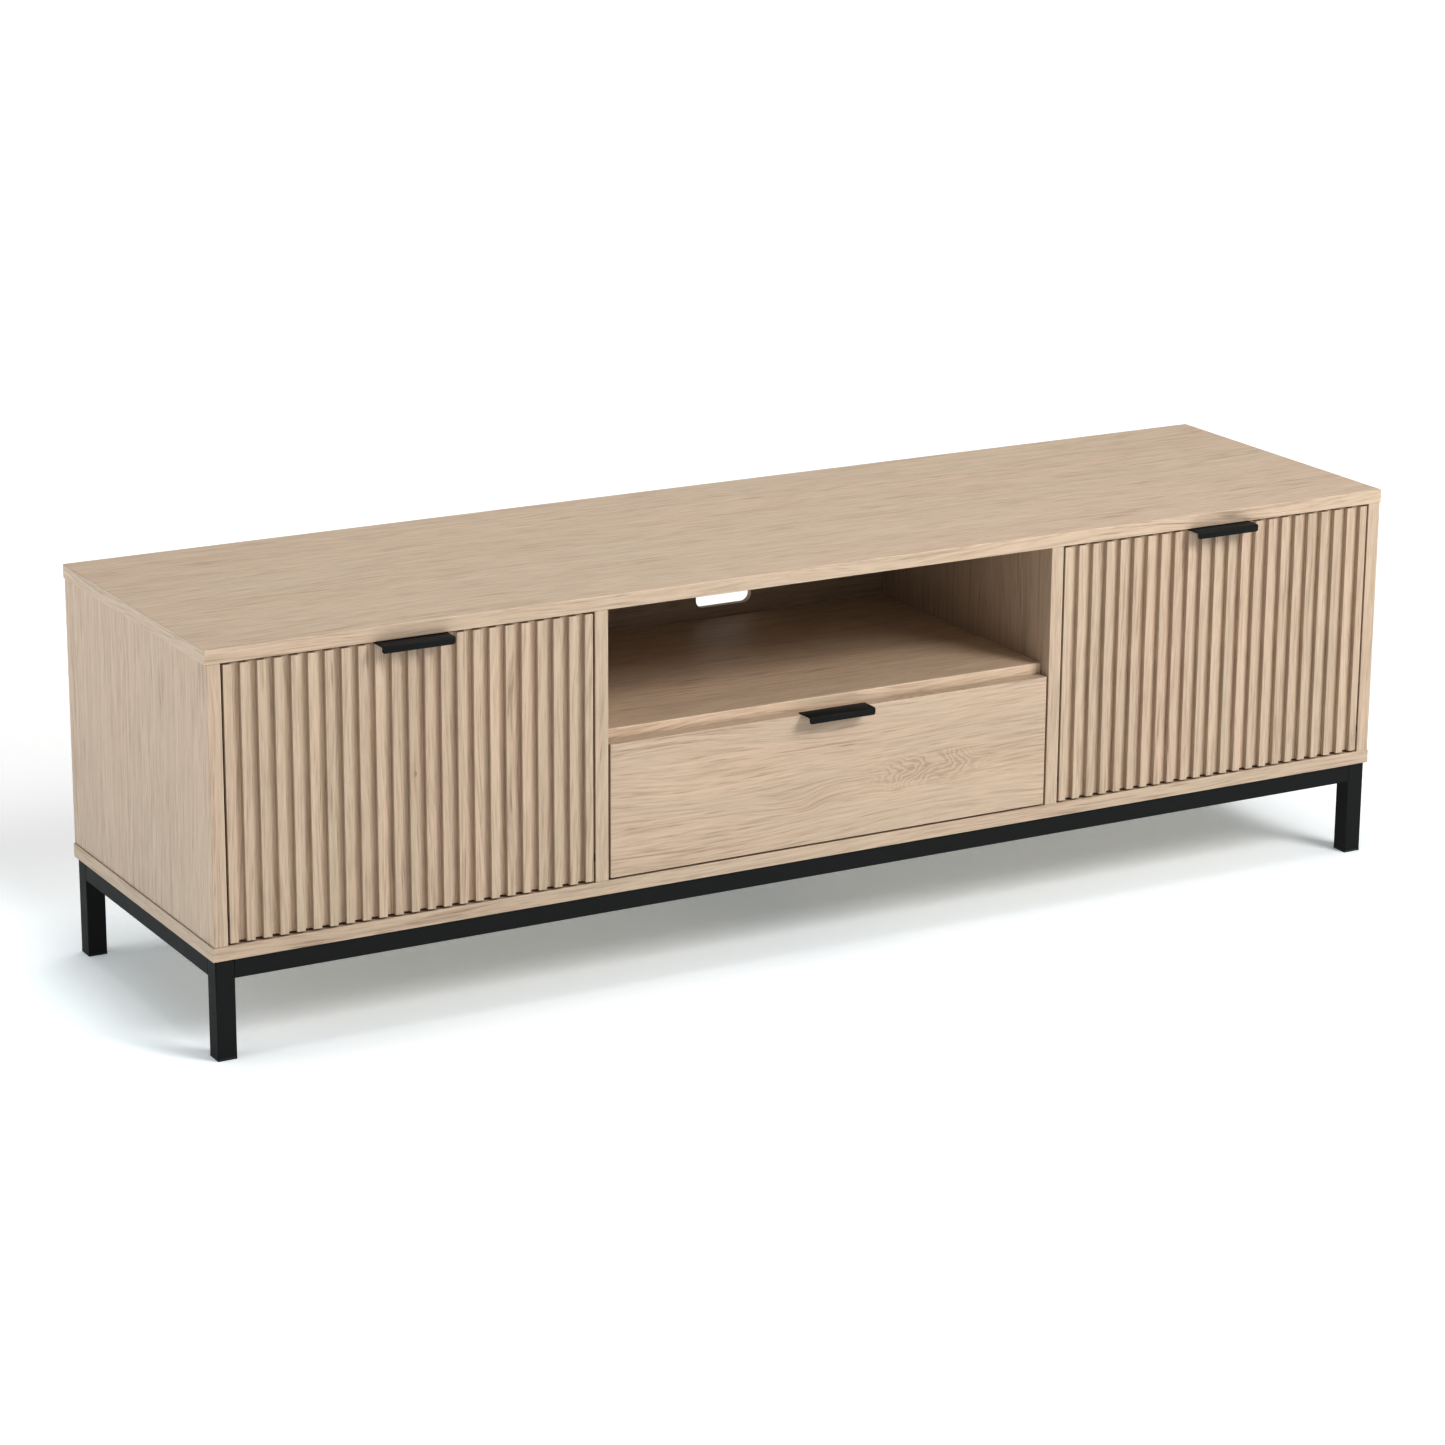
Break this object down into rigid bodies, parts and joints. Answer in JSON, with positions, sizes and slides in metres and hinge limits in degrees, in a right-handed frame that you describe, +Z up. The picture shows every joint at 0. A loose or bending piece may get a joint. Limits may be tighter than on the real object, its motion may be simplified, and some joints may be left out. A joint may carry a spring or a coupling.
{
  "type": "media cabinet",
  "caption": "Low media cabinet in washed oak on a black square-tube base, with fluted drop-down doors, an open niche over a drawer, and black edge pulls.",
  "frame": {"origin": "on the floor, under the middle of the overall box, edge pulls included", "axes": "+X to the right seen from the front, +Y from front to back, +Z up"},
  "size_m": [1.5, 0.418, 0.45],
  "materials": {
    "oak_laminate": "washed-oak foil, satin, fine grain",
    "oak_fronts": "washed-oak foil on fluted doors and drawer front, satin",
    "drawer_board": "pale oak-effect foil, satin",
    "drawer_sheet": "thin fibreboard with pale printed face",
    "black_frame": "black powder coat, fine texture, satin",
    "black_pull": "black powder coat, satin",
    "black_plastic": "moulded, matt",
    "catch_plastic": "moulded, matt beige",
    "bush_plastic": "moulded, near black",
    "beech": "raw turned beech",
    "zinc_steel": "bright zinc plate",
    "cast_zinc": "die-cast zinc alloy, dull grey",
    "runner_steel": "rolled zinc-plated steel"
  },
  "bodies": {
    "carcass": {"top_panel": "oak_laminate", "bottom_panel": "oak_laminate", "niche_shelf": "oak_laminate", "back_panel_left": "oak_laminate", "back_panel_centre": "oak_laminate", "back_panel_right": "oak_laminate", "side_panel_left": "oak_laminate", "side_panel_right": "oak_laminate", "divider_left": "oak_laminate", "divider_right": "oak_laminate", "leg_front_left": "black_frame", "leg_front_right": "black_frame", "leg_back_left": "black_frame", "leg_back_right": "black_frame", "rail_front": "black_frame", "rail_back": "black_frame", "rail_left": "black_frame", "rail_right": "black_frame", "rail_centre": "black_frame", "foot_front_left": "black_plastic", "foot_front_right": "black_plastic", "foot_back_left": "black_plastic", "foot_back_right": "black_plastic", "catch_left": "catch_plastic", "catch_right": "catch_plastic", "pivot_bushes": "bush_plastic", "dowels": "beech", "cam_bolts": "zinc_steel", "frame_screws": "zinc_steel", "catch_screws": "zinc_steel", "runner_screws": "zinc_steel", "stay_studs": "zinc_steel", "cam_locks": "cast_zinc", "runner_outer_left": "runner_steel", "runner_outer_right": "runner_steel"},
    "door_left": {"door_left": "oak_fronts", "handle_left": "black_pull", "pivot_pins_left": "zinc_steel", "flap_stay_left": "zinc_steel", "strike_plate_left": "zinc_steel", "door_screws_left": "zinc_steel"},
    "door_right": {"door_right": "oak_fronts", "handle_right": "black_pull", "pivot_pins_right": "zinc_steel", "flap_stay_right": "zinc_steel", "strike_plate_right": "zinc_steel", "door_screws_right": "zinc_steel"},
    "drawer": {"drawer_front": "oak_fronts", "drawer_side_left": "drawer_board", "drawer_side_right": "drawer_board", "drawer_back": "drawer_board", "drawer_bottom": "drawer_sheet", "handle_drawer": "black_pull", "drawer_cam_bolts": "zinc_steel", "drawer_cam_locks": "cast_zinc", "drawer_screws": "zinc_steel", "runner_inner_left": "runner_steel", "runner_inner_right": "runner_steel"},
    "runner_left": {"runner_middle_left": "runner_steel"},
    "runner_right": {"runner_middle_right": "runner_steel"}
  },
  "joints": [
    {"name": "door_left_hinge", "type": "hinge", "parent": "carcass", "child": "door_left", "pos_m": [-0.5165, -0.183, 0.156], "axis": [1, 0, 0], "range_deg": [0, 90]},
    {"name": "door_right_hinge", "type": "hinge", "parent": "carcass", "child": "door_right", "pos_m": [0.5165, -0.183, 0.156], "axis": [1, 0, 0], "range_deg": [0, 90]},
    {"name": "drawer_slide", "type": "slide", "parent": "carcass", "child": "drawer", "axis": [0, -1, 0], "range_m": [0, 0.28]},
    {"name": "runner_left_slide", "type": "slide", "parent": "carcass", "child": "runner_left", "axis": [0, -1, 0], "range_m": [0, 0.14]},
    {"name": "runner_right_slide", "type": "slide", "parent": "carcass", "child": "runner_right", "axis": [0, -1, 0], "range_m": [0, 0.14]}
  ],
  "couplings": [
    {"joint": "runner_left_slide", "follows": "drawer_slide", "ratio": 0.5},
    {"joint": "runner_right_slide", "follows": "drawer_slide", "ratio": 0.5}
  ]
}
